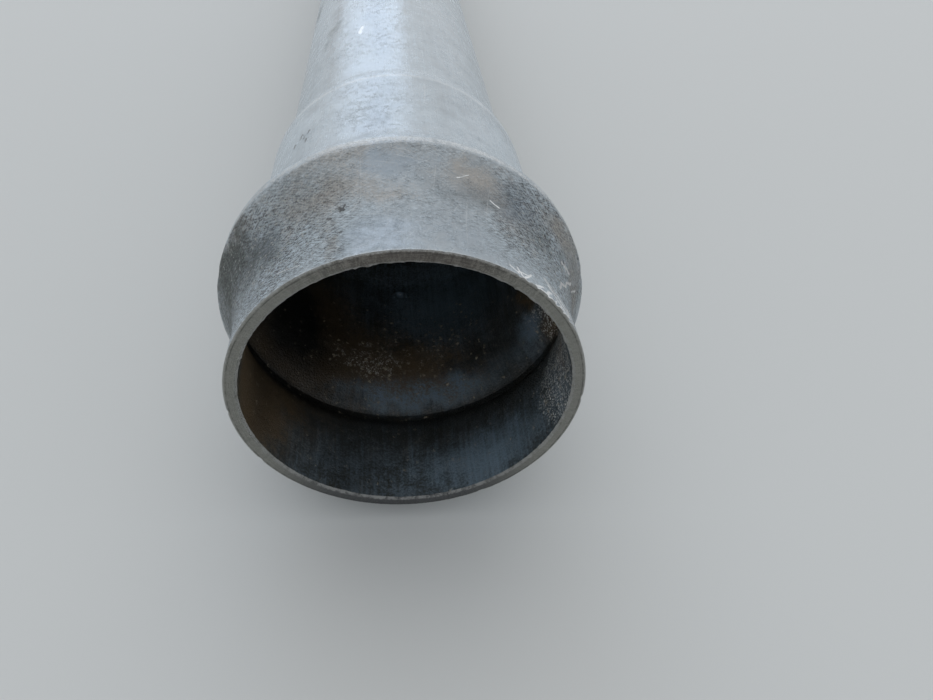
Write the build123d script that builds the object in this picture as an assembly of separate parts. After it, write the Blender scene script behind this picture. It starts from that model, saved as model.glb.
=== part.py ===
from build123d import *
import math
import os

os.makedirs("parts", exist_ok=True)

# PVC pressure pipe, one extruded length whose end is formed into a socket.
# All sizes in millimetres, angles in degrees.
# The pipe lies on its socket's crest with its axis along Y and its mouth at -Y.
# The origin is at floor height, under the middle of the length.

# Barrel
PIPE_LENGTH = 3000.0
BARREL_OD = 110.0
WALL = 4.5

# Spigot end, at +Y, with its outer edge tapered so that it enters a socket
SPIGOT_TAPER_DEPTH = 3.0
SPIGOT_TAPER_ANGLE = 15.0

# Socket bore, sized from the spigot that it takes
SPIGOT_GAP = 0.5
SOCKET_BORE_LENGTH = 49.2
SHOULDER_LENGTH = 15.7

# Mouth: a saw-cut ring on a short straight neck, a little wider than the bore
MOUTH_STEP = 0.5
NECK_LENGTH = 14.0
MOUTH_OUTER_BREAK = 0.5
MOUTH_INNER_BREAK = 0.9

# Ring groove, seen outside as a sharp crest between two hollow flares
GROOVE_DEPTH = 9.9
CREST_START = 47.7
CREST_WIDTH = 5.7
BACK_FLARE_LENGTH = 35.0

# Roundings on the formed end
CREST_FRONT_ROUND = 1.0
CREST_BACK_ROUND = 2.0
SHOULDER_TOP_ROUND = 25.0
SHOULDER_FOOT_ROUND = 12.0
GROOVE_CORNER_ROUND = 1.0

# Radii of the outside
barrel_r = BARREL_OD / 2
socket_r = barrel_r + SPIGOT_GAP + WALL
mouth_r = socket_r + MOUTH_STEP
crest_r = socket_r + GROOVE_DEPTH

# Stations along the axis, measured from the mouth's face
crest_end = CREST_START + CREST_WIDTH
socket_bore_start = crest_end + BACK_FLARE_LENGTH
shoulder_top = socket_bore_start + SOCKET_BORE_LENGTH
shoulder_foot = shoulder_top + SHOULDER_LENGTH
taper_length = SPIGOT_TAPER_DEPTH / math.tan(math.radians(SPIGOT_TAPER_ANGLE))

# Each flare is an arc that leaves its straight stretch along the axis
front_run = CREST_START - NECK_LENGTH
front_rise = crest_r - mouth_r
front_flare_radius = (front_run**2 + front_rise**2) / (2 * front_rise)
back_flare_radius = (BACK_FLARE_LENGTH**2 + GROOVE_DEPTH**2) / (2 * GROOVE_DEPTH)

# Angle at which the shoulder falls towards the axis, along +Y
shoulder_fall = math.degrees(math.atan2(socket_r - barrel_r, SHOULDER_LENGTH))


def inset(station, radius, fall_before, fall_after):
    """Return the corner that lies one wall thickness inside an outer corner."""
    before = math.radians(fall_before)
    after = math.radians(fall_after)
    shared = 1 + math.cos(before - after)
    along = -WALL * (math.sin(before) + math.sin(after)) / shared
    inward = -WALL * (math.cos(before) + math.cos(after)) / shared
    return (station + along, radius + inward)


# Inside of the wall, corner by corner
bore_r = barrel_r - WALL
mouth_bore_r = mouth_r - WALL
socket_bore_r = socket_r - WALL
groove_r = crest_r - WALL
front_drop = mouth_r + front_flare_radius - groove_r
back_drop = socket_r + back_flare_radius - groove_r
groove_start = NECK_LENGTH + math.sqrt((front_flare_radius + WALL)**2 - front_drop**2)
groove_end = socket_bore_start - math.sqrt((back_flare_radius + WALL)**2 - back_drop**2)
inner_shoulder_top = inset(shoulder_top, socket_r, 0, shoulder_fall)
inner_shoulder_foot = inset(shoulder_foot, barrel_r, shoulder_fall, 0)

# Half section of the wall, drawn as station along Y against radius
with BuildSketch(Plane.YZ) as section:
    with BuildLine():
        Polyline(
            (NECK_LENGTH, mouth_bore_r),
            (MOUTH_INNER_BREAK, mouth_bore_r),
            (0, mouth_bore_r + MOUTH_INNER_BREAK),
            (0, mouth_r - MOUTH_OUTER_BREAK),
            (MOUTH_OUTER_BREAK, mouth_r),
            (NECK_LENGTH, mouth_r),
        )
        TangentArc((NECK_LENGTH, mouth_r), (CREST_START, crest_r), tangent=(1, 0))
        Line((CREST_START, crest_r), (crest_end, crest_r))
        TangentArc((socket_bore_start, socket_r), (crest_end, crest_r), tangent=(-1, 0))
        Polyline(
            (socket_bore_start, socket_r),
            (shoulder_top, socket_r),
            (shoulder_foot, barrel_r),
            (PIPE_LENGTH - taper_length, barrel_r),
            (PIPE_LENGTH, barrel_r - SPIGOT_TAPER_DEPTH),
            (PIPE_LENGTH, bore_r),
            inner_shoulder_foot,
            inner_shoulder_top,
            (socket_bore_start, socket_bore_r),
        )
        TangentArc((socket_bore_start, socket_bore_r), (groove_end, groove_r), tangent=(-1, 0))
        Line((groove_end, groove_r), (groove_start, groove_r))
        TangentArc((NECK_LENGTH, mouth_bore_r), (groove_start, groove_r), tangent=(1, 0))
    make_face()

    roundings = [
        ((CREST_START, crest_r), CREST_FRONT_ROUND),
        ((crest_end, crest_r), CREST_BACK_ROUND),
        ((shoulder_top, socket_r), SHOULDER_TOP_ROUND),
        ((shoulder_foot, barrel_r), SHOULDER_FOOT_ROUND),
        ((groove_start, groove_r), GROOVE_CORNER_ROUND),
        ((groove_end, groove_r), GROOVE_CORNER_ROUND),
        (inner_shoulder_top, SHOULDER_TOP_ROUND - WALL),
        (inner_shoulder_foot, SHOULDER_FOOT_ROUND + WALL),
    ]
    for (station, radius), rounding in roundings:
        spot = Vector(station, radius, 0)
        corner = min(section.vertices(), key=lambda v: (Vector(v) - spot).length)
        fillet(corner, rounding)

pipe = revolve(section.sketch, axis=Axis.Y, revolution_arc=360)
pipe = Pos(0, -PIPE_LENGTH / 2, crest_r) * pipe
pipe.label = "pipe"

export_step(pipe, "parts/pipe.step")
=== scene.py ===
import math
import random

import bpy
from mathutils import Matrix, Vector, noise


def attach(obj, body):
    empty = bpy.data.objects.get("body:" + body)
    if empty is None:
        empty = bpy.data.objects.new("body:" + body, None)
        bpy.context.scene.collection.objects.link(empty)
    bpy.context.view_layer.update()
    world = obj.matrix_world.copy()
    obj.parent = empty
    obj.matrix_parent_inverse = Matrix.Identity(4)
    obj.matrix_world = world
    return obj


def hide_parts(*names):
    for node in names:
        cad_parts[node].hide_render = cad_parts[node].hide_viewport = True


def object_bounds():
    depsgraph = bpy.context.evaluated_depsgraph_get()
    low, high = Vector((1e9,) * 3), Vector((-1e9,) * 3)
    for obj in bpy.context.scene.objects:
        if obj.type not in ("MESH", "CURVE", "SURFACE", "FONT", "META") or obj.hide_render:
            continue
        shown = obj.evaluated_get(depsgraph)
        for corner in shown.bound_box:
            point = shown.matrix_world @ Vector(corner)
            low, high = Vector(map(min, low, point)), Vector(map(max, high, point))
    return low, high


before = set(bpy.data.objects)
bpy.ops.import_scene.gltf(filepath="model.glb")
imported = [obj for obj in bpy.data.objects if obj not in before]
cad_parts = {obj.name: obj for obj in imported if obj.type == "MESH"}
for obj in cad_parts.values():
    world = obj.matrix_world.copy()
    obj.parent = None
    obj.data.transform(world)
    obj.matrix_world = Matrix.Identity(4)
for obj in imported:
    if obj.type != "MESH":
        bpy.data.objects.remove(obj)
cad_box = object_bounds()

random.seed(7)
# Without a seed of its own, noise_vector starts from the clock
noise.seed_set(7)

# A used grey pressure pipe: one skin, turned from the outline of its wall.
# Lengths of the pipe are millimetres and places in the scene are metres.
# Stations run from the mouth's face. Turns are degrees round the axis from the
# top, clockwise as seen from in front of the mouth.

MM_PER_M = 1000
MOUTH_Y = cad_box[0][1]
AXIS_Z = 0.0699
LENGTH = (cad_box[1][1] - MOUTH_Y) * MM_PER_M

# Camera
SENSOR_WIDTH = 36.0
FOCAL_LENGTH = 26.03
CAMERA_PLACE = Vector((-0.010418, MOUTH_Y - 0.158426, AXIS_Z + 0.166428))
CAMERA_RIGHT = Vector((0.99155, -0.09616, 0.08709))
CAMERA_UP = Vector((0.0, 0.67131, 0.74117))
camera_data = bpy.data.cameras.new("camera")
camera_data.sensor_width = SENSOR_WIDTH
camera_data.lens = FOCAL_LENGTH
camera_data.clip_start, camera_data.clip_end = 0.01, 60.0
camera = bpy.data.objects.new("camera", camera_data)
bpy.context.scene.collection.objects.link(camera)
camera_back = CAMERA_RIGHT.cross(CAMERA_UP)
camera_turn = Matrix((CAMERA_RIGHT, CAMERA_UP, camera_back)).transposed().to_4x4()
camera.matrix_world = Matrix.Translation(CAMERA_PLACE) @ camera_turn
bpy.context.scene.camera = camera

# Wall and radii
WALL = 4.5
BARREL_R = 55.0
SOCKET_R = 60.0
MOUTH_R = 60.5
CREST_R = 69.9
BORE_R = BARREL_R - WALL
SOCKET_BORE_R = SOCKET_R - WALL
MOUTH_BORE_R = MOUTH_R - WALL
GROOVE_R = CREST_R - WALL

# Stations
NECK = 14.0
CREST_START = 47.7
CREST_END = 53.4
BACK_FLARE_END = 88.4
SHOULDER_TOP = 137.6
SHOULDER_FOOT = 153.3

# Broken edges, the spigot's taper and roundings
OUTER_BREAK = 0.5
INNER_BREAK = 0.9
TAPER_DEPTH = 3.0
TAPER_ANGLE = 15.0
TAPER_LENGTH = TAPER_DEPTH / math.tan(math.radians(TAPER_ANGLE))
CREST_FRONT_ROUND = 1.0
CREST_BACK_ROUND = 2.0
SHOULDER_TOP_ROUND = 25.0
SHOULDER_FOOT_ROUND = 12.0
GROOVE_CORNER_ROUND = 1.0

# Steps in which the outline is drawn
FLARE_STEPS = 24
ROUND_STEP = math.radians(6)
ROUND_STEPS_LEAST = 3
OUTER_STEP = 1.8
INNER_STEP = 2.2
MOUTH_FACE_STEPS = 4


def arc_radius(run, rise):
    """Radius of an arc that leaves the axis's direction and rises over a run."""
    return (run**2 + rise**2) / (2 * rise)


FRONT_FLARE = arc_radius(CREST_START - NECK, CREST_R - MOUTH_R)
BACK_FLARE = arc_radius(BACK_FLARE_END - CREST_END, CREST_R - SOCKET_R)
FRONT_CENTRE_R = MOUTH_R + FRONT_FLARE
BACK_CENTRE_R = SOCKET_R + BACK_FLARE


def flare(foot, far, centre_r, bend):
    """Points of a flare's arc, from its foot to the station far, ends left out."""
    points = []
    for i in range(1, FLARE_STEPS):
        station = foot + (far - foot) * i / FLARE_STEPS
        points.append((station, centre_r - math.sqrt(bend**2 - (station - foot) ** 2), 0))
    return points


def inset(station, radius, fall_before, fall_after):
    """The corner one wall thickness inside an outer corner."""
    shared = 1 + math.cos(fall_before - fall_after)
    along = WALL * (math.sin(fall_before) + math.sin(fall_after)) / shared
    inward = WALL * (math.cos(fall_before) + math.cos(fall_after)) / shared
    return (station - along, radius - inward)


def groove_edge(foot, centre_r, bend, side):
    """Station at which a flare's inside reaches the groove's floor."""
    return foot + side * math.sqrt((bend + WALL) ** 2 - (centre_r - GROOVE_R) ** 2)


shoulder_fall = math.atan2(SOCKET_R - BARREL_R, SHOULDER_FOOT - SHOULDER_TOP)
groove_start = groove_edge(NECK, FRONT_CENTRE_R, FRONT_FLARE, 1)
groove_end = groove_edge(BACK_FLARE_END, BACK_CENTRE_R, BACK_FLARE, -1)
inner_shoulder_top = inset(SHOULDER_TOP, SOCKET_R, 0, shoulder_fall)
inner_shoulder_foot = inset(SHOULDER_FOOT, BARREL_R, shoulder_fall, 0)

# Corners as station, radius and rounding
outer_corners = (
    [(0, MOUTH_R - OUTER_BREAK, 0), (OUTER_BREAK, MOUTH_R, 0), (NECK, MOUTH_R, 0)]
    + flare(NECK, CREST_START, FRONT_CENTRE_R, FRONT_FLARE)
    + [(CREST_START, CREST_R, CREST_FRONT_ROUND), (CREST_END, CREST_R, CREST_BACK_ROUND)]
    + flare(BACK_FLARE_END, CREST_END, BACK_CENTRE_R, BACK_FLARE)[::-1]
    + [
        (BACK_FLARE_END, SOCKET_R, 0),
        (SHOULDER_TOP, SOCKET_R, SHOULDER_TOP_ROUND),
        (SHOULDER_FOOT, BARREL_R, SHOULDER_FOOT_ROUND),
        (LENGTH - TAPER_LENGTH, BARREL_R, 0),
        (LENGTH, BARREL_R - TAPER_DEPTH, 0),
    ]
)
inner_corners = (
    [
        (LENGTH, BORE_R, 0),
        (*inner_shoulder_foot, SHOULDER_FOOT_ROUND + WALL),
        (*inner_shoulder_top, SHOULDER_TOP_ROUND - WALL),
        (BACK_FLARE_END, SOCKET_BORE_R, 0),
    ]
    + flare(BACK_FLARE_END, groove_end, BACK_CENTRE_R, BACK_FLARE + WALL)
    + [(groove_end, GROOVE_R, GROOVE_CORNER_ROUND), (groove_start, GROOVE_R, GROOVE_CORNER_ROUND)]
    + flare(NECK, groove_start, FRONT_CENTRE_R, FRONT_FLARE + WALL)[::-1]
    + [(NECK, MOUTH_BORE_R, 0), (INNER_BREAK, MOUTH_BORE_R, 0), (0, MOUTH_BORE_R + INNER_BREAK, 0)]
)


def rounded(corners):
    """The corners as points, with the rounded ones turned into short arcs."""
    points = []
    for i, (station, radius, rounding) in enumerate(corners):
        here = Vector((station, radius))
        if not rounding:
            points.append(here)
            continue
        back = (Vector(corners[i - 1][:2]) - here).normalized()
        on = (Vector(corners[i + 1][:2]) - here).normalized()
        turn = math.pi - back.angle(on)
        centre = here + (back + on).normalized() * (rounding / math.cos(turn / 2))
        first = here + back * (rounding * math.tan(turn / 2)) - centre
        side = 1 if back.x * on.y - back.y * on.x < 0 else -1
        steps = max(ROUND_STEPS_LEAST, int(turn / ROUND_STEP))
        for k in range(steps + 1):
            points.append(centre + Matrix.Rotation(side * turn * k / steps, 2) @ first)
    return points


# Past the formed end the rings of points stand further and further apart
FORMED_END = 170.0
LAST_STEPS = 8
BARREL_START = 172.0
FIRST_REACH = 2.0
REACH_GROWTH = 1.06
LONGEST_REACH = 40.0
barrel_stations = []
reach, station = FIRST_REACH, BARREL_START
while station < LENGTH - TAPER_LENGTH:
    barrel_stations.append(station)
    reach = min(reach * REACH_GROWTH, LONGEST_REACH)
    station += reach


def subdivided(points, longest):
    """The same line, with short steps on the formed end and growing ones after it."""
    out = [points[0]]
    for a, b in zip(points, points[1:]):
        low, high = min(a.x, b.x), max(a.x, b.x)
        if low < FORMED_END < high:
            last = [low + (FORMED_END - low) * k / LAST_STEPS for k in range(1, LAST_STEPS + 1)]
            cuts = [s for s in last + barrel_stations if low < s < high]
            if a.x > b.x:
                cuts.reverse()
            out += [a.lerp(b, (s - a.x) / (b.x - a.x)) for s in cuts]
        elif (b - a).length > longest and high <= FORMED_END:
            count = math.ceil((b - a).length / longest)
            out += [a.lerp(b, k / count) for k in range(1, count)]
        out.append(b)
    return out


def refined(points, low, high, longest):
    """The same line, with short steps between two stations."""
    out = [points[0]]
    for a, b in zip(points, points[1:]):
        count = 1
        if low <= a.x <= high or low <= b.x <= high:
            count = math.ceil((b - a).length / longest)
        out += [a.lerp(b, k / count) for k in range(1, count + 1)]
    return out


# A small round dent in the bore's floor, whose rim stands up on its far side
DENT_TURN = 179
DENT_STATION = 129
DENT_R = 3.0
DENT_RIM_WIDTH = 0.8
DENT_RIM_HEIGHT = 1.3
DENT_NEAR_SHARE = 0.2
DENT_REACH = (122.0, 136.0)
DENT_STEP = 0.8

# The wall's whole outline, ring by ring, and the side of the wall for each ring
OUTSIDE, CUT_FACE, INSIDE = 0, 1, 2
outer_line = subdivided(rounded(outer_corners), OUTER_STEP)
inner_line = refined(subdivided(rounded(inner_corners), INNER_STEP), *DENT_REACH, DENT_STEP)
mouth_steps = [k / MOUTH_FACE_STEPS for k in range(1, MOUTH_FACE_STEPS)]
mouth_face = [inner_line[-1].lerp(outer_line[0], share) for share in mouth_steps]
spigot_face = [outer_line[-1].lerp(inner_line[0], 0.5)]
loop = outer_line + spigot_face + inner_line + mouth_face
sides = [OUTSIDE] * len(outer_line) + [CUT_FACE] * len(spigot_face)
sides += [INSIDE] * len(inner_line) + [CUT_FACE] * len(mouth_face)
inner_rim = len(loop) - len(mouth_face) - 1
sides[0] = sides[inner_rim] = CUT_FACE

# Stains on the skin, painted on its points: turn, station, half width round the
# pipe in degrees, half length along it, strength. Pale is chalk outside and a pale
# haze inside, and among its marks are painted shade, painted highlights and painted
# reflection of the sky. Warm is brown dust. Cool is a bluish tint, in part the
# plastic's own and in part painted reflection of the sky, along the top outside and
# on the bore's floor inside. Grime is dark dirt, and on the sides of the cone also
# painted shade. Rough is where the surface is grained and specked.
OUTSIDE_MARKS = {
    # Negative marks make it darker: those at turns beyond 55 either side, on the neck and the cone,
    # are painted shade on its sides. Those along the crest at turns -43 and 66 are worn, and in
    # part painted highlight on its edge
    "pale": [
        (-48, 8, 7, 10, 0.14),
        (-62, 14, 7, 12, 0.20),
        (-42, 26, 14, 20, 0.14),
        (62, 25, 12, 20, 0.10),
        (-41, 41, 8, 5, 0.12),
        (58, 42, 8, 4, 0.10),
        (15, 37, 14, 8, -0.18),
        (27, 36, 9, 7, -0.30),
        (37, 27, 8, 6, -0.15),
        (-34, 38, 6, 6, 0.22),
        (-52, 50, 10, 3, 0.20),
        (-43, 48, 8, 3, 0.30),
        (-33, 41, 7, 6, 0.25),
        (0, 50, 14, 2.5, -0.22),
        (66, 35, 7, 8, 0.20),
        (54, 41, 6, 5, 0.18),
        (-75, 38, 8, 8, -0.25),
        (-60, 40, 6, 5, -0.12),
        (-59, 14, 6, 6, 0.15),
        (48, 17, 13, 14, 0.20),
        (62, 45, 9, 4, 0.25),
        (-70, 45, 10, 4, -0.30),
        (-56, 39, 8, 5, -0.20),
        (60, 14, 8, 16, 0.20),
        (10, 8, 26, 9, 0.03),
        (52, 3, 14, 4, 0.30),
        (-22, 42, 13, 5, 0.26),
        (56, 45, 9, 3, 0.30),
        (14, 106, 16, 16, -0.10),
        (66, 48.8, 18, 1.4, 0.25),
        (68, 42, 8, 5, 0.25),
        (-25, 162, 14, 12, 0.12),
        (5, 76, 14, 8, -0.08),
        (45, 103, 9, 10, 0.25),
        (-60, 300, 14, 60, 0.20),
        (-28, 42, 17, 11, 0.42),
        (-26, 14, 11, 15, 0.26),
        (-14, 28, 16, 30, 0.10),
        (40, 20, 14, 7, 0.26),
        (54, 44, 15, 6, 0.50),
        (58, 20, 10, 10, 0.34),
        (-62, 20, 8, 10, 0.14),
        (66, 5, 6, 8, -0.55),
        (-53, 6, 6, 8, 0.16),
        (35, 98, 10, 14, 0.12),
        (-6, 98, 16, 12, 0.06),
        (-48, 118, 14, 14, 0.24),
        (-32, 45, 12, 5, 0.30),
        (-40, 33, 8, 9, 0.18),
        (-38, 17, 8, 7, 0.18),
        (60, 37, 12, 8, 0.28),
        (43, 50, 10, 3, -0.22),
        (-43, 48.5, 10, 2.5, 0.25),
        (12, 108, 12, 12, -0.10),
    ],
    "warm": [
        (-25, 36, 14, 10, 0.70),
        (-9, 29, 9, 5, 0.50),
        (17, 40, 10, 6, 0.60),
        (56, 43, 9, 5, 0.75),
        (32, 27, 10, 7, 0.30),
        (-25, 9, 3, 12, 0.60),
        (72, 34, 7, 14, 0.70),
        (-61, 45, 9, 4, 0.30),
        (20, 182, 4, 8, 0.20),
        (-68, 230, 6, 40, 0.45),
        (-20, 48, 24, 3, 0.35),
        (-106, 44, 14, 5, 0.60),
        (-132, 26, 14, 8, 0.60),
        (-160, 42, 16, 5, 0.70),
        (164, 24, 14, 9, 0.60),
        (138, 38, 12, 6, 0.60),
        (108, 30, 10, 10, 0.50),
        (-120, 110, 18, 24, 0.35),
        (160, 150, 20, 30, 0.45),
        (100, 230, 14, 50, 0.40),
        (-100, 250, 12, 60, 0.45),
    ],
    # Those near the top, at turns -11 and -6 on the neck, the flare and the barrel, are painted
    # reflection of the sky; the rest are bluish tints of the plastic
    "cool": [
        (-11, 10, 9, 9, 1.10),
        (-6, 41, 9, 5, 1.20),
        (-48, 29, 8, 9, 0.70),
        (34, 38, 9, 8, 0.80),
        (14, 12, 14, 10, 0.30),
        (-11, 90, 9, 45, 0.80),
        (-11, 230, 9, 80, 0.90),
        (62, 120, 8, 12, 0.60),
    ],
    # Those at turns of 65 to 100 either side of the top, on the neck and the cone, are painted
    # shade on the cone's sides, at the right partly dirt; the rest are dirt
    "grime_and_shade": [
        (-48, 30, 8, 8, 0.45),
        (-60, 27, 13, 13, 0.45),
        (-60, 40, 8, 8, 0.60),
        (-66, 5, 5, 6, 0.35),
        (18, 31, 14, 7, 0.34),
        (48, 28, 9, 7, 0.25),
        (-46, 21, 6, 5, 0.35),
        (70, 18, 6, 22, 0.55),
        (84, 40, 14, 10, 0.30),
        (77, 8, 6, 12, 0.40),
        (66, 5, 6, 8, 0.30),
        (-76, 46, 14, 3.5, 0.75),
        (-74, 37, 7, 8, 0.40),
        (25, 33, 5, 4, 0.14),
        (33, 41, 8, 7, 0.35),
        (44, 31, 6, 5, 0.35),
        (58, 36, 6, 4, 0.30),
        (-80, 32, 12, 13, 0.62),
        (-94, 36, 10, 8, 0.45),
        (-98, 22, 12, 7, 0.40),
        (-116, 39, 14, 6, 0.45),
        (-122, 16, 16, 8, 0.35),
        (-142, 32, 18, 7, 0.50),
        (-168, 18, 18, 9, 0.45),
        (176, 40, 22, 6, 0.55),
        (152, 30, 16, 10, 0.40),
        (128, 42, 14, 5, 0.45),
        (118, 14, 12, 8, 0.35),
        (-100, 70, 26, 9, 0.25),
        (150, 66, 24, 8, 0.30),
        (-150, 140, 26, 8, 0.30),
        (170, 120, 16, 26, 0.35),
        (-72, 42, 9, 5, 0.35),
        (-4, 43, 7, 5, 0.15),
        (98, 26, 20, 24, 0.30),
        (-38, 246, 4, 13, 0.75),
        (-43, 222, 4, 15, 0.60),
        (-64, 330, 7, 24, 0.80),
        (-52, 190, 6, 12, 0.20),
        (20, 182, 2, 4, 0.25),
        (-28, 212, 2, 5, 0.15),
    ],
    "rough": [
        (-38, 34, 17, 14, 0.70),
        (-46, 12, 12, 12, 0.75),
        (-24, 9, 6, 10, 0.45),
        (52, 40, 16, 9, 1.00),
        (2, 37, 24, 10, -0.14),
        (34, 22, 8, 6, 0.30),
        (66, 26, 9, 14, 0.50),
        (-6, 41, 8, 5, -0.15),
        (-11, 10, 8, 9, -0.10),
        (-41, 101, 5, 5, 0.20),
        (-90, 30, 25, 20, 0.40),
        (-58, 22, 20, 24, 0.60),
        (56, 22, 18, 24, 0.60),
        (68, 30, 16, 20, 0.75),
    ],
}
INSIDE_MARKS = {
    # Inside, the haze at turns of 135 to 180, on the floor of the neck and the bore, is painted
    # reflection of the sky with some dust; the marks at the right are pale dust
    "pale": [
        # A painted highlight on the far rim of the small dent in the bore's floor
        (177, 130.5, 1.4, 1.0, 2.2),
        (180, 10, 60, 16, 0.25),
        (174, 61, 28, 6, 1.70),
        (158, 112, 30, 30, 0.34),
        (150, 10, 16, 14, 0.20),
        (112, 62, 9, 8, 0.95),
        (90, 20, 16, 22, 0.38),
        (135, 12, 20, 14, 0.50),
        (160, 125, 40, 34, 0.25),
    ],
    "warm": [
        (178, 74, 30, 14, 0.80),
        (214, 74, 12, 10, 0.90),
        (238, 52, 24, 24, 0.90),
        (225, 90, 16, 24, 0.60),
        (258, 20, 20, 26, 1.50),
        (103, 78, 5, 9, 1.20),
        (98, 52, 7, 6, 1.20),
        (84, 24, 10, 18, 0.60),
        (196, 92, 30, 18, 0.40),
        (220, 120, 20, 30, 0.40),
    ],
    # Painted bluish reflection of the sky on the bore's floor
    "cool": [
        (150, 60, 45, 8, 0.60),
        (145, 115, 32, 30, 1.00),
        (135, 12, 30, 16, 0.60),
    ],
    "grime_and_shade": [
        (250, 20, 10, 24, 0.50),
        (240, 90, 20, 30, 0.60),
        (232, 76, 30, 28, 0.95),
        (206, 8, 16, 16, 0.60),
        (126, 68, 14, 9, 0.50),
        (143, 70, 12, 6, 0.30),
        (0, 90, 80, 60, 0.30),
    ],
    "rough": [
        (190, 78, 44, 18, 0.55),
        (198, 74, 16, 8, 0.25),
        (100, 60, 14, 14, 0.90),
        (92, 18, 20, 22, 2.00),
        (150, 100, 40, 25, 0.30),
        (190, 105, 40, 16, 0.30),
    ],
}
# Their levels along the pipe, as station and level
OUTSIDE_LEVELS = {
    "pale": [
        (0, 0.55),
        (18, 0.52),
        (24, 0.55),
        (36, 0.60),
        (46, 0.62),
        (48, 0.66),
        (50.5, 0.76),
        (54, 0.80),
        (90, 0.82),
        (116, 0.83),
        (120, 0.74),
        (131, 0.73),
        # The rise at station 134 is a painted highlight on the shoulder's rounding
        (134, 0.85),
        (150, 0.81),
        (162, 0.77),
        (3000, 0.78),
    ],
    "warm": [(0, 0.12), (20, 0.20), (47, 0.32), (54, 0.20), (90, 0.10), (3000, 0.14)],
    "cool": [(0, 0.20), (46, 0.10), (54, 0.0), (3000, 0.05)],
    "grime_and_shade": [(0, 0.02), (30, 0.06), (46, 0.10), (48, 0.0), (54, 0.04), (90, 0.0), (3000, 0.0)],
    "rough": [
        (0, 0.10),
        (20, 0.25),
        (46, 0.30),
        (54, 0.13),
        (90, 0.05),
        (150, 0.035),
        (400, 0.04),
        (3000, 0.07),
    ],
}
INSIDE_LEVELS = {
    "pale": [(0, 0.16), (40, 0.10), (48, 0.0), (54, 0.12), (75, 0.10), (110, 0.15), (3000, 0.15)],
    "warm": [(0, 0.15), (50, 0.30), (90, 0.25), (120, 0.10), (3000, 0.10)],
    "cool": [(0, 0.20), (3000, 0.20)],
    # Darkest on the groove's floor, stations 46 to 51
    "grime_and_shade": [(0, 0.0), (40, 0.05), (46, 0.8), (51, 0.8), (54, 0.1), (80, 0.0), (3000, 0.0)],
    "rough": [(0, 0.30), (50, 0.40), (100, 0.30), (140, 0.10), (3000, 0.10)],
}
KINDS = tuple(OUTSIDE_LEVELS)
# A row of dark pits on the socket's side
PITTED_MARKS = [
    (-46, 100, 2.2, 2.5, 1.2),
    (-43, 104, 2.0, 2.5, 1.2),
    (-40, 100, 2.5, 3.0, 1.2),
    (-36.5, 104.5, 2.0, 2.5, 1.1),
]


def scatter(count, turns, stations, widths, lengths, strengths, factors):
    """Random marks on the outside, each value drawn between two ends."""
    for _ in range(count):
        place = [random.uniform(*ends) for ends in (turns, stations, widths, lengths)]
        kind = random.choice(KINDS)
        strength = random.uniform(*strengths) * factors.get(kind, 1.0)
        OUTSIDE_MARKS[kind].append((*place, strength))


# Patches and drag marks on the barrel past the photo's edge, where chalk is rubbed
# off rather than added, and then patches under the formed end
ALL_ROUND = (-180, 180)
FAR_BARREL = (380, 2990)
UNDERSIDE = (105, 255)
NEAR_END = (4, 330)
RUBBED_OFF = {"pale": -1.0, "grime_and_shade": 0.6}
scatter(110, ALL_ROUND, FAR_BARREL, (9, 34), (30, 140), (0.2, 0.6), RUBBED_OFF)
scatter(110, ALL_ROUND, FAR_BARREL, (2.5, 5), (60, 320), (0.25, 0.6), RUBBED_OFF)
scatter(24, UNDERSIDE, NEAR_END, (6, 20), (5, 14), (0.2, 0.6), {})

# Half widths from its middle at which a mark has faded out
MARK_REACH = 2


def level(table, station):
    """Value of a table at a station, in straight steps between its rows."""
    for (a, low), (b, high) in zip(table, table[1:]):
        if station <= b:
            return low + (high - low) * (station - a) / (b - a)
    return table[-1][1]


def turned(turn, middle):
    """Degrees from the middle to a turn, the short way round."""
    return (turn - middle + 180) % 360 - 180


def stained(marks, turn, station):
    """Sum of the soft-edged marks that reach a point."""
    total = 0.0
    for mark_turn, mark_station, half_turn, half_length, strength in marks:
        along = (station - mark_station) / half_length
        if abs(along) > MARK_REACH:
            continue
        across = turned(turn, mark_turn) / half_turn
        away = along * along + across * across
        if away < MARK_REACH**2:
            total += strength * math.exp(-away)
    return total


# Torn and burred places on the edges: turn, half width in degrees, depth
INNER_BURRS = [
    (-17.5, 0.5, 0.5),
    (-13.5, 1.2, 0.7),
    (-11.6, 0.4, 0.4),
    (-6, 1.8, 0.35),
    (-3.4, 0.4, 0.5),
    (1, 0.9, 0.25),
    (12, 0.6, 0.35),
    (27, 1.2, 0.35),
    (33, 0.5, 0.4),
    (40, 1.5, 0.3),
    (47, 0.6, 0.4),
    (-30, 0.5, 0.3),
    (-52, 0.8, 0.35),
    (-70, 0.6, 0.3),
    (62, 1.0, 0.35),
    (118, 0.8, 0.4),
    (205, 1.2, 0.4),
    (168, 0.5, 0.3),
]
OUTER_NICKS = [
    (31, 0.5, 0.4),
    (34, 0.7, 0.3),
    (38, 0.4, 0.4),
    (43, 0.6, 0.35),
    (47, 0.8, 0.4),
    (51, 0.4, 0.4),
    (55, 0.8, 0.3),
    (-20, 0.5, 0.25),
    (150, 1, 0.4),
    (-120, 1, 0.35),
    (8, 0.4, 0.2),
    (90, 0.8, 0.3),
    (-95, 0.6, 0.3),
]
CREST_NICKS = [
    (-33, 1.2, 0.2),
    (52, 1.5, 0.2),
    (74, 1.5, 0.25),
    (-76, 2, 0.2),
    (140, 3, 0.4),
    (-150, 3, 0.4),
]

# Half widths over which a tear runs out
TEAR_REACH = 1.6

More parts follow.
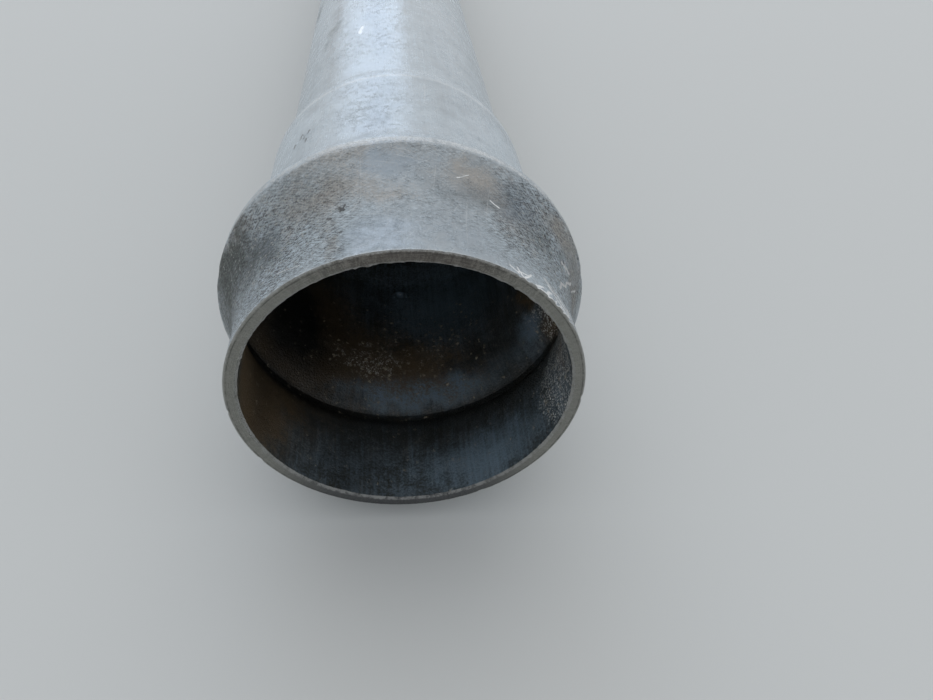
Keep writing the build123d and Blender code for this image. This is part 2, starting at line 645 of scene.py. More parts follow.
# The mouth's face and edges: how far each zone reaches, and how deep its unevenness is
ON_FACE = 0.01
NEAR_FACE = 1.0
INNER_EDGE = 1.2
OUTER_EDGE = 0.8
BURR_SHARE_BEHIND_FACE = 0.6
BURR_RIPPLE = 0.10
NICK_RIPPLE = 0.05
SAW_RIPPLE = 0.06

# The crest's nicks reach a little past it, and the skin past the mouth is wavy
CREST_MARGIN = 1
CREST_RIPPLE = 0.06
SKIN_START = 3
SKIN_RIPPLE = 0.04


def torn(places, turn):
    """How deep the edge is torn or burred at a turn."""
    depth = 0.0
    for place, half_width, most in places:
        away = abs(turned(turn, place)) / half_width
        depth = max(depth, most * max(0.0, min(1.0, TEAR_REACH - away)))
    return depth


def ripple(turn, station, waves_round, waves_along):
    """Noise of a fineness of its own round the pipe and along it."""
    angle = math.radians(turn)
    ring = Vector((math.cos(angle), math.sin(angle), 0))
    return noise.noise(ring * waves_round + Vector((0, 0, station * waves_along)))


def relief(side, station, radius, turn):
    """Station and radius of a point with the wear and the saw's marks on it."""
    fine = ripple(turn, station, 60, 0.5)
    rough = ripple(turn, station, 14, 0.2)
    near_face = station < NEAR_FACE
    if near_face and radius < MOUTH_BORE_R + INNER_EDGE:
        share = 1.0 if station < ON_FACE else BURR_SHARE_BEHIND_FACE
        radius -= torn(INNER_BURRS, turn) * share + BURR_RIPPLE * fine + BURR_RIPPLE * rough
    if near_face and radius > MOUTH_R - OUTER_EDGE:
        radius -= torn(OUTER_NICKS, turn) + NICK_RIPPLE * max(0.0, fine)
    if station < ON_FACE:
        station += SAW_RIPPLE + SAW_RIPPLE * fine
    if side == OUTSIDE and CREST_START - CREST_MARGIN < station < CREST_END + CREST_MARGIN:
        radius -= torn(CREST_NICKS, turn) + CREST_RIPPLE * max(0.0, fine)
    if side == OUTSIDE and station > SKIN_START:
        radius -= SKIN_RIPPLE + SKIN_RIPPLE * ripple(turn, station, 3, 0.02)
    if side == INSIDE:
        across = math.radians(turn - DENT_TURN) * radius
        along = station - DENT_STATION
        from_rim = (math.hypot(across, along) - DENT_R) / DENT_RIM_WIDTH
        share = 1.0 if along > -0.5 else DENT_NEAR_SHARE
        radius -= DENT_RIM_HEIGHT * math.exp(-(from_rim**2)) * share
    return station, radius


# The skin, with the most points round the torn edge of the mouth
AROUND = 192
FINE_AROUND = 768
FINER_NECK = 3.5

# Noise that moves the marks' edges by degrees and millimetres, and the clouds in them
DRIFT_WAVES = 0.09
FINE_DRIFT_WAVES = 0.3
CLOUD_WAVES = 0.035
DRIFT_TURN = 6
DRIFT_ALONG = 4.5
DRIFT_MARGIN = 10
PALE_CLOUD = 0.05
WARM_DRIFT = 0.08
ROUGH_CLOUD = 0.1
COOL_DRIFT = 0.15

points, paint, wear_and_sheen = [], [], []
ring_start, ring_count = [], []
for side, here in zip(sides, loop):
    if here.x < NEAR_FACE:
        count = FINE_AROUND
    elif here.x < FINER_NECK or side == INSIDE and DENT_REACH[0] < here.x < DENT_REACH[1]:
        count = FINE_AROUND // 2
    else:
        count = AROUND
    inside = side == INSIDE
    levels, marks = (INSIDE_LEVELS, INSIDE_MARKS) if inside else (OUTSIDE_LEVELS, OUTSIDE_MARKS)
    base = {kind: level(levels[kind], here.x) for kind in KINDS}
    near = {}
    for kind in KINDS:
        near[kind] = [
            mark
            for mark in marks[kind]
            if abs(mark[1] - here.x) < MARK_REACH * mark[3] + DRIFT_MARGIN
        ]
    ring_start.append(len(points))
    ring_count.append(count)
    for k in range(count):
        turn = 360 * k / count
        angle = math.radians(turn)
        station, radius = relief(side, here.x, here.y, turn)
        x, z = radius * math.sin(angle), radius * math.cos(angle)
        points.append((x / MM_PER_M, MOUTH_Y + station / MM_PER_M, AXIS_Z + z / MM_PER_M))
        place = Vector((x, station, z))
        drift = noise.noise_vector(place * DRIFT_WAVES)
        drift += noise.noise_vector(place * FINE_DRIFT_WAVES) * 0.5
        cloud = noise.fractal(place * CLOUD_WAVES, 1.0, 2.1, 4)
        moved = (turn + DRIFT_TURN * drift.x, station + DRIFT_ALONG * drift.y)
        value = {kind: base[kind] + stained(near[kind], *moved) for kind in KINDS}
        pitted = stained(PITTED_MARKS, turn, station) if side == OUTSIDE else 0.0
        pale = value["pale"] + PALE_CLOUD * cloud
        warm = value["warm"] + WARM_DRIFT * drift.z
        rough = value["rough"] + ROUGH_CLOUD * cloud
        cool = value["cool"] + COOL_DRIFT * drift.y
        paint += [pale, warm, value["grime_and_shade"], 1.0]
        wear_and_sheen += [rough, cool, pitted, 1.0]


def band(a, m, b, n):
    """Faces between a ring of m points from a on and a ring of n points from b on.

    The counts are the same, or one is twice the other."""
    new = []
    for k in range(min(m, n)):
        if m == n:
            on = (k + 1) % m
            new.append((a + k, a + on, b + on, b + k))
        elif m > n:
            low, high = b + k, b + (k + 1) % n
            first, middle, last = a + 2 * k, a + 2 * k + 1, a + (2 * k + 2) % m
            new += [(first, middle, low), (middle, high, low), (middle, last, high)]
        else:
            low, high = a + k, a + (k + 1) % m
            first, middle, last = b + 2 * k, b + 2 * k + 1, b + (2 * k + 2) % n
            new += [(low, middle, first), (low, high, middle), (high, last, middle)]
    return new


faces, materials = [], []
for i in range(len(loop)):
    j = (i + 1) % len(loop)
    side = sides[i] if sides[i] == sides[j] else CUT_FACE
    new = band(ring_start[i], ring_count[i], ring_start[j], ring_count[j])
    faces += new
    materials += [side] * len(new)

skin = bpy.data.meshes.new("pipe_skin")
skin.from_pydata(points, [], faces)
skin.polygons.foreach_set("material_index", materials)
skin.polygons.foreach_set("use_smooth", [True] * len(faces))
skin.attributes.new("stain_and_painted_light", "FLOAT_COLOR", "POINT").data.foreach_set("color", paint)
skin.attributes.new("wear_and_sheen", "FLOAT_COLOR", "POINT").data.foreach_set("color", wear_and_sheen)
# Hard edges where the saw's cut meets the walls and at the spigot's corners
spigot_rim = len(outer_line) - 1
hard_rings = [0, 1, spigot_rim - 1, spigot_rim, spigot_rim + 2, inner_rim - 1, inner_rim]
hard_points = set()
for i in hard_rings:
    hard_points.update(range(ring_start[i], ring_start[i] + ring_count[i]))
ring_of = [i for i, count in enumerate(ring_count) for _ in range(count)]
for edge in skin.edges:
    a, b = edge.vertices
    edge.use_edge_sharp = ring_of[a] == ring_of[b] and a in hard_points
skin.update()
pipe = bpy.data.objects.new("pipe_skin", skin)
bpy.context.scene.collection.objects.link(pipe)
print("triangles", sum(len(face) - 2 for face in faces), "rings", len(loop))


def colour(red, green, blue):
    return (red, green, blue, 1)


# Outside
CLEAN_DARK = colour(0.095, 0.103, 0.110)
CLEAN_LIGHT = colour(0.140, 0.148, 0.153)
CHALK_DARK = colour(0.41, 0.468, 0.512)
CHALK_LIGHT = colour(0.49, 0.552, 0.592)
# Bluish tint, also used for the painted reflection of the sky along the top
BLUISH_AND_SHEEN = colour(0.225, 0.275, 0.33)
BROWN_DUST = colour(0.345, 0.305, 0.262)
# Dark dirt, also used for painted shade on the cone's sides
DARK_GRIME_AND_SHADE = colour(0.044, 0.056, 0.047)
PALE_GRAIN = colour(0.56, 0.56, 0.53)
DARK_PIT = colour(0.035, 0.035, 0.033)
# Pale bruised plastic, also used for painted highlights
BRUISED_AND_HIGHLIGHT = colour(0.68, 0.68, 0.67)
SCRATCHED = colour(0.82, 0.82, 0.81)
IOR = 1.53

# Cut face
CUT_DARK = colour(0.070, 0.062, 0.052)
CUT_LIGHT = colour(0.26, 0.245, 0.215)
CUT_SIDES = colour(0.31, 0.315, 0.28)
CUT_BELOW = colour(0.048, 0.054, 0.060)
CUT_TOP = colour(0.115, 0.10, 0.085)
CUT_RIMS = colour(0.40, 0.40, 0.385)
CUT_GROOVE = colour(0.035, 0.033, 0.030)

# Inside
BORE_DARK = colour(0.026, 0.027, 0.023)
BORE_LIGHT = colour(0.052, 0.058, 0.057)
# Haze and bluish cast of the bore, partly painted reflection of the sky on its floor
BORE_HAZE_AND_SHEEN = colour(0.19, 0.26, 0.325)
BORE_COOL_AND_SHEEN = colour(0.062, 0.098, 0.118)
BORE_SILT = colour(0.120, 0.080, 0.040)
BORE_DARKEST = colour(0.006, 0.006, 0.005)
SILT_SPECK = colour(0.42, 0.37, 0.28)
BRIGHT_SPECK = colour(0.80, 0.80, 0.76)

# A pale line along the crest, worn and in part painted highlight, a painted highlight
# round the socket's shoulder, and the cut face's groove, 1 mm inside its outer
# edge. The spigot's end is worn over its last millimetres.
CREST_LINE = 50.8
SHOULDER_HIGHLIGHT_STATION = 133.0
GROOVE_INSET = 1.0
END_WEAR = (LENGTH - 3.5, LENGTH - 0.5)

# The radius at which the wall is laid flat
FLAT_R = 60.0

# Heights of the bumps, in metres
OUTSIDE_WAVES = 0.0009
OUTSIDE_LUMPS = 0.0010
CUT_MARKS = 0.0008
INSIDE_WAVES = 0.0012
INSIDE_LUMPS = 0.0004

# Single pits as two ends, each turn and station, and a width
NAMED_PITS = [
    ((-21.6, 26.6), (-20.2, 25.4), 0.75),
    ((-21.4, 25.2), (-19.6, 27.4), 0.45),
    ((-24.6, 24.4), (-23.6, 23.7), 0.5),
    ((-46.7, 99.2), (-45.9, 101.4), 0.65),
    ((-43.6, 104.4), (-43.0, 106.0), 0.5),
    ((-40.8, 96.6), (-40.2, 98.6), 0.6),
    ((-41.6, 100.4), (-41.0, 101.8), 0.45),
    ((-39.7, 103.2), (-39.0, 105.0), 0.55),
]
# Scratches that show the pale bruised plastic, given in the same way
SCRATCHES = [
    ((55, 19), (62.5, 28), 0.7),
    ((62.5, 28), (67.5, 34.0), 0.7),
    ((58, 33.5), (64.5, 36), 0.65),
    ((60, 36), (62, 32.5), 0.4),
    ((42.5, 10), (46, 7.2), 0.45),
    ((46, 7.2), (50.5, 6.3), 0.55),
    ((50.5, 6.3), (56, 3.0), 0.9),
    ((44, 7.5), (47.5, 4.5), 0.55),
    ((47.5, 4.5), (52.5, 1.6), 0.7),
    ((31, 4.5), (32.5, 0.5), 0.45),
    ((33, 0.8), (36, 5.5), 0.45),
    ((37, 1), (41, 3), 0.5),
    ((42, 0.5), (44.5, 4), 0.8),
    ((53.5, 0.8), (56.5, 7), 0.8),
    ((-41, 8), (-33, 6), 0.22),
    ((13, 38), (16.5, 40), 0.15),
    # A small white spot on top of the barrel
    ((-20.6, 212), (-19.8, 221), 1.3),
    ((24, 33), (26.5, 31.5), 0.3),
    ((70, 33), (74, 39), 0.4),
    ((56, 3.0), (60, 0.5), 0.7),
    ((43.5, 10.5), (49.5, 7.4), 0.4),
    ((49.5, 7.4), (54, 6.0), 0.5),
    ((54, 6.0), (61, 5.0), 0.6),
    ((48.5, 10.5), (56, 7.6), 0.35),
    ((56, 7.6), (63, 6.3), 0.45),
    ((28, 3.6), (31, 1.6), 0.35),
    ((30.5, 2.2), (34.5, 3.6), 0.4),
    ((33, 0.4), (39, 0.3), 0.5),
    ((39, 0.3), (47, 0.3), 0.7),
    ((47, 0.4), (56, 0.4), 0.7),
    # A pale line along the crest's right edge, worn and in part painted highlight
    ((55, 48.3), (74, 48.3), 0.5),
    ((66, 6), (69, 11), 0.4),
    ((49.5, 0.4), (50.5, 3), 0.5),
    ((45.5, 0.4), (47, 2.2), 0.5),
]


class Nodes:
    """The shader nodes of one material, and short ways to add more.

    Lengths are millimetres. Cycles has room for only so many values at once, and
    past that the material turns black. So no Math or MapRange node here is clamped:
    the renderer puts such clamps off to the end and keeps all that feeds them."""

    def __init__(self, name):
        self.material = bpy.data.materials.new(name)
        self.material.use_nodes = True
        self.tree = self.material.node_tree
        self.shader = self.tree.nodes["Principled BSDF"]
        coordinates = self.tree.nodes.new("ShaderNodeTexCoord")
        # x, station and height over the axis
        mapping = self.add("Mapping", {"Vector": coordinates.outputs["Object"]})
        mapping.inputs["Location"].default_value = (0, -MOUTH_Y * MM_PER_M, -AXIS_Z * MM_PER_M)
        mapping.inputs["Scale"].default_value = (MM_PER_M,) * 3
        self.place = mapping.outputs["Vector"]
        parts = self.add("SeparateXYZ", {"Vector": self.place})
        self.station = parts.outputs["Y"]
        across = self.vector("MULTIPLY", self.place, (1, 0, 1))
        self.around = self.vector("NORMALIZE", across)
        # The wall laid flat: lengths round the pipe and along it
        turn = self.math("ARCTAN2", parts.outputs["X"], parts.outputs["Z"])
        flat = self.add("CombineXYZ", {"X": self.times(turn, FLAT_R), "Y": self.station})
        self.flat = flat.outputs["Vector"]
        self.shaken = self.shake(self.flat, 0.16, (3.0, 3.0, 0))
        self.rattled = self.shake(self.place, 0.8, (1.3, 1.3, 1.3))
        # What is painted on the skin's points
        stain_and_painted_light = self.add("Attribute", {}, attribute_name="stain_and_painted_light")
        self.pale, self.warm, self.grime_and_shade = self.parts(stain_and_painted_light.outputs["Color"])
        wear_and_sheen = self.add("Attribute", {}, attribute_name="wear_and_sheen")
        self.rough, self.cool, self.pitted = self.parts(wear_and_sheen.outputs["Color"])

    def add(self, kind, inputs, **settings):
        node = self.tree.nodes.new("ShaderNode" + kind)
        for key, value in settings.items():
            setattr(node, key, value)
        for key, value in inputs.items():
            self.plug(node.inputs[key], value)
        return node

    def plug(self, socket, value):
        if isinstance(value, bpy.types.NodeSocket):
            self.tree.links.new(value, socket)
        else:
            socket.default_value = value

    def set_shader(self, **values):
        """Plug values into the shader, with _ for a space in their names."""
        for name, value in values.items():
            self.plug(self.shader.inputs[name.replace("_", " ")], value)

    def vector(self, operation, a, b=(0, 0, 0), c=(0, 0, 0)):
        node = self.add("VectorMath", {0: a, 1: b, 2: c}, operation=operation)
        scalar = operation in ("LENGTH", "DISTANCE", "DOT_PRODUCT")
        return node.outputs["Value" if scalar else "Vector"]

    def math(self, operation, a, b=0.0):
        return self.add("Math", {0: a, 1: b}, operation=operation).outputs[0]

    def parts(self, colour):
        return self.add("SeparateColor", {"Color": colour}).outputs[:3]

    def sum(self, *values):
        total = values[0]
        for value in values[1:]:
            total = self.math("ADD", total, value)
        return total

    def times(self, a, b):
        return self.math("MULTIPLY", a, b)

    def most(self, masks):
        """The largest of the masks. Where they come from a generator, each is used
        as soon as it is made."""
        total = 0.0
        for mask in masks:
            total = self.math("MAXIMUM", total, mask)
        return total

    def swing(self, value, size):
        """The value's departure from one half, scaled."""
        return self.times(self.math("SUBTRACT", value, 0.5), size)

    def step(self, value, low, high, out_low=0.0, out_high=1.0):
        """A smooth step from out_low at low to out_high at high."""
        ends = {"From Min": low, "From Max": high, "To Min": out_low, "To Max": out_high}
        settings = {"interpolation_type": "SMOOTHSTEP", "clamp": False}
        return self.add("MapRange", {"Value": value, **ends}, **settings).outputs["Result"]

    def near_line(self, value, outer, inner):
        """Mask of the values near zero: none beyond outer and all within inner."""
        return self.step(self.math("ABSOLUTE", value), outer, inner)

    def shade(self, colour, amount):
        """The colour made lighter or darker by a factor."""
        node = self.add("VectorMath", {0: colour, "Scale": amount}, operation="SCALE")
        return node.outputs["Vector"]

    def mix(self, amount, a, b):
        return self.add("Mix", {0: amount, 6: a, 7: b}, data_type="RGBA").outputs[2]

    def noise(self, place, scale, detail=3.0, roughness=0.55):
        inputs = {"Vector": place, "Scale": scale, "Detail": detail, "Roughness": roughness}
        return self.add("TexNoise", inputs).outputs[0]

    def shake(self, place, scale, size):
        """The place, moved about by noise."""
        noise_node = self.add("TexNoise", {"Vector": place, "Scale": scale, "Detail": 1.0})
        moved = self.vector("SUBTRACT", noise_node.outputs["Color"], (0.5, 0.5, 0.5))
        return self.vector("MULTIPLY_ADD", moved, size, place)

    def specks(self, place, scale, share, size):
        """Mask of specks of uneven size and strength in a share of the cells."""
        node = self.add("TexVoronoi", {"Vector": place, "Scale": scale})
        chance, lot, power = self.parts(node.outputs["Color"])
        ragged = self.swing(self.noise(place, 2.2 * scale, 1.0), 0.9 * size)
        edge = self.sum(node.outputs["Distance"], ragged)
        solid = self.step(self.math("SUBTRACT", edge, self.times(lot, size)), 0.0, -0.35 * size)
        power = self.step(power, 0.0, 1.0, 0.35, 1.0)
        return self.times(self.times(solid, power), self.math("LESS_THAN", chance, share))

    def strokes(self, lean, per_mm_along, per_mm_across, detail=2.0):
        """Noise drawn out along a line that leans from the pipe's round, in degrees."""
        mapping = self.add("Mapping", {"Vector": self.flat})
        mapping.inputs["Rotation"].default_value = (0, 0, math.radians(-lean))
        scales = (per_mm_along, per_mm_across, 1)
        squeezed = self.vector("MULTIPLY", mapping.outputs["Vector"], scales)
        return self.noise(squeezed, 1.0, detail)

    def streaks(self, per_turn, per_mm, detail):
        """Noise drawn out round the pipe, or along it where per_mm is small."""
        along = self.vector("MULTIPLY", self.place, (0, per_mm, 0))
        stretched = self.vector("MULTIPLY_ADD", self.around, (per_turn,) * 3, along)
        return self.noise(stretched, 1.0, detail)

    def scratch(self, start, end, width):
        """Mask of a line between two points on the wall, given as turn and station."""
        a, b = [Vector((math.radians(turn) * FLAT_R, station, 0)) for turn, station in (start, end)]
        line = b - a
        from_a = self.vector("SUBTRACT", self.shaken, tuple(a))
        reach = self.vector("DOT_PRODUCT", from_a, tuple(line / line.length_squared))
        reach = self.math("MINIMUM", self.math("MAXIMUM", reach, 0.0), 1.0)
        nearest = self.shade(tuple(line), reach)
        away = self.vector("DISTANCE", from_a, nearest)
        return self.step(away, 1.2 * width, 0.4 * width)

    def bump(self, height, distance, normal=None):
        """Normals for a height that is worth the distance, in metres."""
        node = self.add("Bump", {"Height": height, "Distance": distance, "Strength": 1.0})
        if normal is not None:
            self.plug(node.inputs["Normal"], normal)
        return node.outputs["Normal"]


def outside_material():
    """Weathered grey plastic: chalk, brown dust, dark soiling, grain and scratches, with painted
    sky reflection, shade and highlights.
    """
    n = Nodes("outside")
    mottle = n.noise(n.place, 0.11, 4.0, 0.6)
    blotch = n.noise(n.place, 0.33, 3.0, 0.6)
    patches = n.noise(n.place, 0.035, 3.0, 0.5)
    grain = n.noise(n.vector("MULTIPLY", n.place, (1, 0.7, 1)), 2.0, 3.0, 0.75)
    rub_right = n.step(n.strokes(22, 0.36, 1.75, 3.0), 0.38, 0.62)
    rub_left = n.step(n.strokes(-28, 0.36, 1.75, 3.0), 0.38, 0.62)
    rubbed = n.times(n.sum(rub_right, rub_left), 0.5)
    drawn = n.streaks(34.0, 0.012, 3.0)
    coarse = n.step(n.sum(n.rough, n.swing(blotch, 0.7)), 0.0, 1.0, 0.03, 1.25)
    texture = n.times(n.sum(n.swing(grain, 3.0), n.swing(rubbed, 1.8), 0.1), coarse)
    # Chalk
    chalk = n.sum(n.pale, n.swing(mottle, 0.5), n.swing(blotch, 0.25), texture)
    chalk = n.sum(chalk, n.swing(drawn, 0.3))
    chalk = n.step(chalk, -0.15, 1.15)
    clean = n.mix(patches, CLEAN_DARK, CLEAN_LIGHT)
    dusty = n.mix(mottle, CHALK_DARK, CHALK_LIGHT)
    skin_colour = n.mix(chalk, clean, dusty)
    # Bluish tint, in part painted reflection of the sky along the top, and brown dust
    cool = n.step(n.sum(n.cool, n.swing(mottle, 0.6)), 0.1, 1.1)
    skin_colour = n.mix(n.times(cool, 0.62), skin_colour, BLUISH_AND_SHEEN)
    dust = n.sum(n.warm, n.swing(mottle, 1.0), n.swing(grain, 1.6))
    dust = n.step(dust, 0.2, 1.2, 0.0, 0.8)
    skin_colour = n.mix(dust, skin_colour, BROWN_DUST)
    # Dark dirt, on the sides of the cone also painted shade, and light and dark grain
    dirt_and_shade = n.times(n.sum(n.swing(grain, 0.8), n.swing(rubbed, 0.3)), coarse)
    dirt_and_shade = n.sum(n.grime_and_shade, n.swing(blotch, 0.9), dirt_and_shade)
    dirt_and_shade = n.step(dirt_and_shade, 0.18, 1.15, 0.0, 0.86)
    skin_colour = n.mix(dirt_and_shade, skin_colour, DARK_GRIME_AND_SHADE)
    speckle = n.times(n.sum(n.swing(grain, 2.6), n.swing(rubbed, 0.8)), coarse)
    skin_colour = n.shade(skin_colour, n.math("MAXIMUM", n.sum(speckle, 1.0), 0.66))
    # Pale grains and dark pits where the surface is rough
    spread = n.step(n.sum(n.rough, n.swing(blotch, 1.4)), 0.25, 0.95)
    grain_mask = n.times(n.specks(n.rattled, 1.0, 0.8, 0.62), spread)
    skin_colour = n.mix(n.times(grain_mask, 0.9), skin_colour, PALE_GRAIN)
    pit_share = n.step(n.pitted, 0.3, 1.0, 0.22, 0.75)
    pit_mask = n.specks(n.vector("ADD", n.rattled, (31, 17, 5)), 0.55, pit_share, 0.42)
    pit_field = n.sum(n.rough, n.pitted, n.swing(n.noise(n.place, 0.09, 1.0), 2.0))
    pit_mask = n.times(pit_mask, n.step(pit_field, 0.45, 0.9))
    named_pit_mask = n.most(n.scratch(*pit) for pit in NAMED_PITS)
    dark_mask = n.most([n.times(pit_mask, 0.8), named_pit_mask])
    skin_colour = n.mix(n.times(dark_mask, 0.85), skin_colour, DARK_PIT)
    # Scratches, rubbed edges and drag marks that show the pale bruised plastic, and painted
    # highlights on the crest and round the socket's shoulder
    scratched = n.most(n.scratch(*line) for line in SCRATCHES)
    scratched = n.times(scratched, n.step(grain, 0.25, 0.45))
    mouth_wear = n.step(n.sum(n.station, n.swing(grain, 4.0)), 1.4, 0.2)
    # A pale line along the crest, worn and in part painted highlight, strongest on top
    crest_wear_and_highlight = n.near_line(n.sum(n.station, n.swing(grain, 2.0), -CREST_LINE), 2.2, 0.8)
    upward = n.add("SeparateXYZ", {"Vector": n.around}).outputs["Z"]
    crest_wear_and_highlight = n.times(crest_wear_and_highlight, n.step(upward, -0.1, 0.7, 0.3, 1.0))
    end_wear = n.step(n.sum(n.station, n.swing(grain, 6.0), n.swing(blotch, 8.0)), *END_WEAR)
    edge_wear_and_highlight = n.times(n.most([mouth_wear, crest_wear_and_highlight, end_wear]), n.step(blotch, 0.32, 0.55))
    # A painted highlight round the socket's shoulder
    shoulder_highlight = n.sum(n.station, n.swing(blotch, 1.6), n.swing(grain, 1.2), -SHOULDER_HIGHLIGHT_STATION)
    shoulder_highlight = n.times(n.near_line(shoulder_highlight, 1.9, 0.3), n.step(mottle, 0.35, 0.60, 0.12, 0.45))
    dragged = n.step(n.strokes(86, 0.012, 0.9, 2.0), 0.66, 0.74)
    thin = n.step(n.strokes(62, 0.05, 1.6, 1.0), 0.70, 0.74)
    thinner = n.step(n.strokes(-12, 0.04, 1.8, 1.0), 0.71, 0.75)
    edge_wear_and_highlight = n.times(edge_wear_and_highlight, n.step(grain, 0.35, 0.60, 0.35, 0.85))
    drag_lines = n.times(n.most([thin, thinner, dragged]), 0.35)
    bruise_and_highlight = n.most([edge_wear_and_highlight, drag_lines, shoulder_highlight])
    skin_colour = n.mix(n.times(bruise_and_highlight, 0.9), skin_colour, BRUISED_AND_HIGHLIGHT)
    skin_colour = n.mix(scratched, skin_colour, SCRATCHED)
    rough = n.sum(n.times(chalk, 0.02), n.times(coarse, 0.30), n.times(dirt_and_shade, 0.2))
    rough = n.sum(rough, n.swing(mottle, 0.2), n.swing(drawn, 0.2), 0.225)
    normal = n.bump(n.noise(n.place, 0.05, 2.0), OUTSIDE_WAVES)
    lumps = n.times(n.sum(grain, n.times(rubbed, 0.8), n.times(grain_mask, 0.35)), coarse)
    lumps = n.sum(lumps, n.times(pit_mask, -0.5))
    normal = n.bump(lumps, OUTSIDE_LUMPS, normal)
    n.set_shader(Base_Color=skin_colour, Roughness=rough, Normal=normal, IOR=IOR)
    return n.material


def cut_face_material():
    """Saw-cut end: lines round and across it, dusty hollows and paler edges."""
    n = Nodes("cut_face")
    radius = n.vector("LENGTH", n.vector("MULTIPLY", n.place, (1, 0, 1)))
    saw = n.noise(n.vector("MULTIPLY", n.place, (0.25, 1.0, 5.0)), 1.0, 3.0, 0.6)
    rings = n.add("CombineXYZ", {"Y": n.times(radius, 2.6)}).outputs["Vector"]
    rings = n.noise(n.vector("MULTIPLY_ADD", n.around, (5.0, 0, 5.0), rings), 1.0, 3.0, 0.6)
    mottle = n.noise(n.place, 0.30, 4.0, 0.6)
    grain = n.noise(n.place, 2.2, 2.0, 0.6)
    across = n.add("CombineXYZ", {"Y": n.times(radius, 0.35)}).outputs["Vector"]
    across = n.noise(n.vector("MULTIPLY_ADD", n.around, (75.0, 0, 75.0), across), 1.0, 2.0, 0.6)
    tone = n.sum(n.swing(saw, 1.0), n.swing(mottle, 1.6), n.swing(grain, 2.6))
    tone = n.sum(tone, n.swing(rings, 1.8), n.swing(across, 2.4))
    face = n.mix(n.step(tone, -0.6, 0.7), CUT_DARK, CUT_LIGHT)
    # Greyer at the sides, and darker below and at the very top
    directions = n.add("SeparateXYZ", {"Vector": n.around}).outputs
    sideways, upward = n.math("ABSOLUTE", directions["X"]), directions["Z"]
    face = n.mix(n.times(n.step(sideways, 0.18, 0.75), 0.70), face, CUT_SIDES)
    face = n.mix(n.times(n.step(upward, -0.45, -0.95), 0.85), face, CUT_BELOW)
    face = n.mix(n.times(n.step(upward, 0.92, 1.0), 0.5), face, CUT_TOP)
    # Paler rims, and a dark line scored round the face
    to_edge = n.sum(radius, n.swing(n.noise(n.place, 0.9, 3.0), 1.2))
    inner_edge = n.step(to_edge, MOUTH_BORE_R + 1.2, MOUTH_BORE_R + 0.5)
    outer_edge = n.step(to_edge, MOUTH_R - 0.7, MOUTH_R - 0.2)
    rims = n.times(n.most([inner_edge, outer_edge]), n.step(mottle, 0.3, 0.55))
    face = n.mix(n.times(rims, 0.75), face, CUT_RIMS)
    groove = n.near_line(n.sum(radius, n.swing(mottle, 0.5), GROOVE_INSET - MOUTH_R), 0.28, 0.05)
    face = n.mix(n.times(groove, n.step(mottle, 0.62, 0.42, 0.1, 0.65)), face, CUT_GROOVE)
    rough = n.sum(n.times(mottle, 0.2), 0.5)
    marks = n.sum(saw, n.times(rings, 0.7), across, n.times(grain, 0.8))
    n.set_shader(Base_Color=face, Roughness=rough, Normal=n.bump(marks, CUT_MARKS))
    return n.material


def inside_material():
    """Near-black bore with dried silt, pale haze and specks, and painted reflection of the sky on
    its floor.
    """
    n = Nodes("inside")
    mottle = n.noise(n.place, 0.10, 4.0, 0.6)
    blotch = n.noise(n.place, 0.35, 3.0, 0.6)
    grain = n.noise(n.place, 1.0, 3.0, 0.7)
    run = n.streaks(40.0, 0.02, 3.0)
    black = n.mix(mottle, BORE_DARK, BORE_LIGHT)
    # Pale haze, on the floor partly painted reflection of the sky
    haze = n.sum(n.pale, n.swing(mottle, 0.8), n.swing(blotch, 0.5))
    haze = n.sum(haze, n.swing(grain, 1.5), n.swing(run, 0.8))
    inner = n.mix(n.step(haze, 0.0, 1.1), black, BORE_HAZE_AND_SHEEN)
    # Bluish cast, on the floor painted reflection of the sky
    cool = n.step(n.sum(n.cool, n.swing(mottle, 0.5)), 0.1, 1.1)
    inner = n.mix(n.times(cool, 0.5), inner, BORE_COOL_AND_SHEEN)
    silt = n.sum(n.warm, n.swing(mottle, 0.9), n.swing(blotch, 0.9), n.swing(grain, 1.8))
    inner = n.mix(n.step(silt, 0.2, 1.1, 0.0, 0.85), inner, BORE_SILT)
    inner = n.mix(n.times(n.grime_and_shade, 0.9), inner, BORE_DARKEST)
    # Coarse specks of silt, and fine bright ones where the wall is roughest
    spread = n.step(n.sum(n.rough, n.swing(blotch, 3.0)), 0.35, 1.1)
    speck_mask = n.times(n.specks(n.rattled, 0.55, 0.30, 0.70), spread)
    inner = n.mix(n.times(speck_mask, 0.85), inner, SILT_SPECK)
    dense = n.step(n.sum(n.rough, n.swing(blotch, 1.2)), 0.85, 1.4)
    fine_specks = n.times(n.specks(n.place, 1.7, 0.85, 0.95), dense)
    inner = n.mix(fine_specks, inner, BRIGHT_SPECK)
    rough = n.sum(n.times(grain, 0.2), n.times(n.pale, 0.15), 0.28)
    normal = n.bump(n.noise(n.place, 0.06, 2.0), INSIDE_WAVES)
    lumps = n.sum(grain, n.times(run, 0.4), n.times(speck_mask, 0.8))
    normal = n.bump(lumps, INSIDE_LUMPS, normal)
    n.set_shader(Base_Color=inner, Roughness=rough, Normal=normal)
    return n.material


for material in (outside_material(), cut_face_material(), inside_material()):
    skin.materials.append(material)

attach(pipe, "root")
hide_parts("pipe")

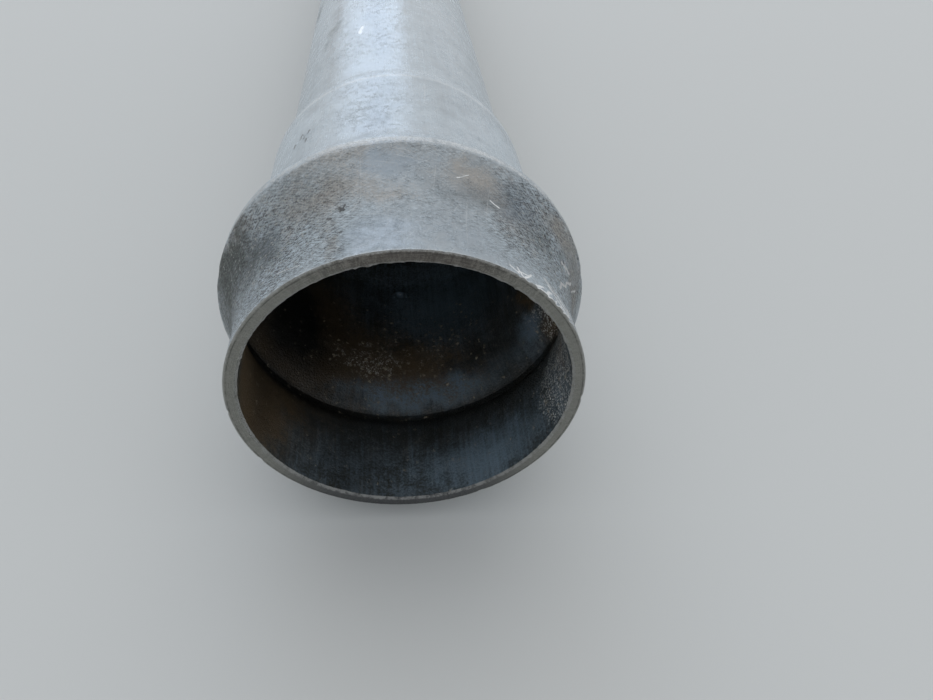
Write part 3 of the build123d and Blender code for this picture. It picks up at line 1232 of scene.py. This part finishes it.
# Floor
FLOOR_HALF = 12
FLOOR_COLOUR = colour(0.60, 0.60, 0.585)
FLOOR_ROUGHNESS = 0.9
floor_mesh = bpy.data.meshes.new("floor")
floor_sides = ((-1, -1), (1, -1), (1, 1), (-1, 1))
corners = [(x * FLOOR_HALF, y * FLOOR_HALF, 0) for x, y in floor_sides]
floor_mesh.from_pydata(corners, [], [(0, 1, 2, 3)])
floor = bpy.data.objects.new("floor", floor_mesh)
bpy.context.scene.collection.objects.link(floor)
floor_material = bpy.data.materials.new("floor")
floor_material.use_nodes = True
floor_shader = floor_material.node_tree.nodes["Principled BSDF"]
floor_shader.inputs["Base Color"].default_value = FLOOR_COLOUR
floor_shader.inputs["Roughness"].default_value = FLOOR_ROUGHNESS
floor_mesh.materials.append(floor_material)

# Lights, as power, tint, place and the point that they face. The key is a sun from
# above the far end, so broad that it casts little shadow. The sky gap is a soft
# panel, seen as the sheen along the top of the barrel.
KEY = (0.6, (1.0, 0.99, 0.97), (0, 0, 0), (0.1, -0.6, -0.9))
KEY_ANGLE = math.radians(70)
SKY_GAP = (38, (0.56, 0.74, 1.0), (-0.88, 4.07, 2.12), (0, -1.5, 0.07))
SKY_GAP_SIZE = (2.3, 2.8)
AMBIENT_COLOUR = colour(0.90, 0.95, 1.0)
AMBIENT_STRENGTH = 0.72
BACKDROP_COLOUR = colour(0.93, 0.94, 0.95)


def add_light(name, kind, power, tint, place, target):
    """A light that faces its target. Its data are returned for further settings."""
    light = bpy.data.lights.new(name, kind)
    light.energy = power
    light.color = tint
    holder = bpy.data.objects.new(name, light)
    bpy.context.scene.collection.objects.link(holder)
    holder.location = place
    aim = Vector(target) - Vector(place)
    holder.rotation_euler = aim.to_track_quat("-Z", "Y").to_euler()
    return light


key = add_light("key", "SUN", *KEY)
key.angle = KEY_ANGLE
sky_gap = add_light("sky_gap", "AREA", *SKY_GAP)
sky_gap.shape = "RECTANGLE"
sky_gap.size, sky_gap.size_y = SKY_GAP_SIZE

# The camera and reflections see the backdrop, and everything else is lit by the
# ambient light
world = bpy.data.worlds.new("world")
bpy.context.scene.world = world
world.use_nodes = True
tree = world.node_tree
tree.nodes.clear()
world_output = tree.nodes.new("ShaderNodeOutputWorld")
choice = tree.nodes.new("ShaderNodeMixShader")
light_path = tree.nodes.new("ShaderNodeLightPath")
ambient = tree.nodes.new("ShaderNodeBackground")
backdrop = tree.nodes.new("ShaderNodeBackground")
ambient.inputs["Color"].default_value = AMBIENT_COLOUR
ambient.inputs["Strength"].default_value = AMBIENT_STRENGTH
backdrop.inputs["Color"].default_value = BACKDROP_COLOUR
seen = light_path.outputs["Is Camera Ray"]
for kind in ("Is Glossy Ray", "Is Transmission Ray"):
    either = tree.nodes.new("ShaderNodeMath")
    either.operation = "MAXIMUM"
    tree.links.new(seen, either.inputs[0])
    tree.links.new(light_path.outputs[kind], either.inputs[1])
    seen = either.outputs[0]
tree.links.new(seen, choice.inputs["Fac"])
tree.links.new(ambient.outputs["Background"], choice.inputs[1])
tree.links.new(backdrop.outputs["Background"], choice.inputs[2])
tree.links.new(choice.outputs["Shader"], world_output.inputs["Surface"])

bpy.context.scene.view_settings.view_transform = "Standard"
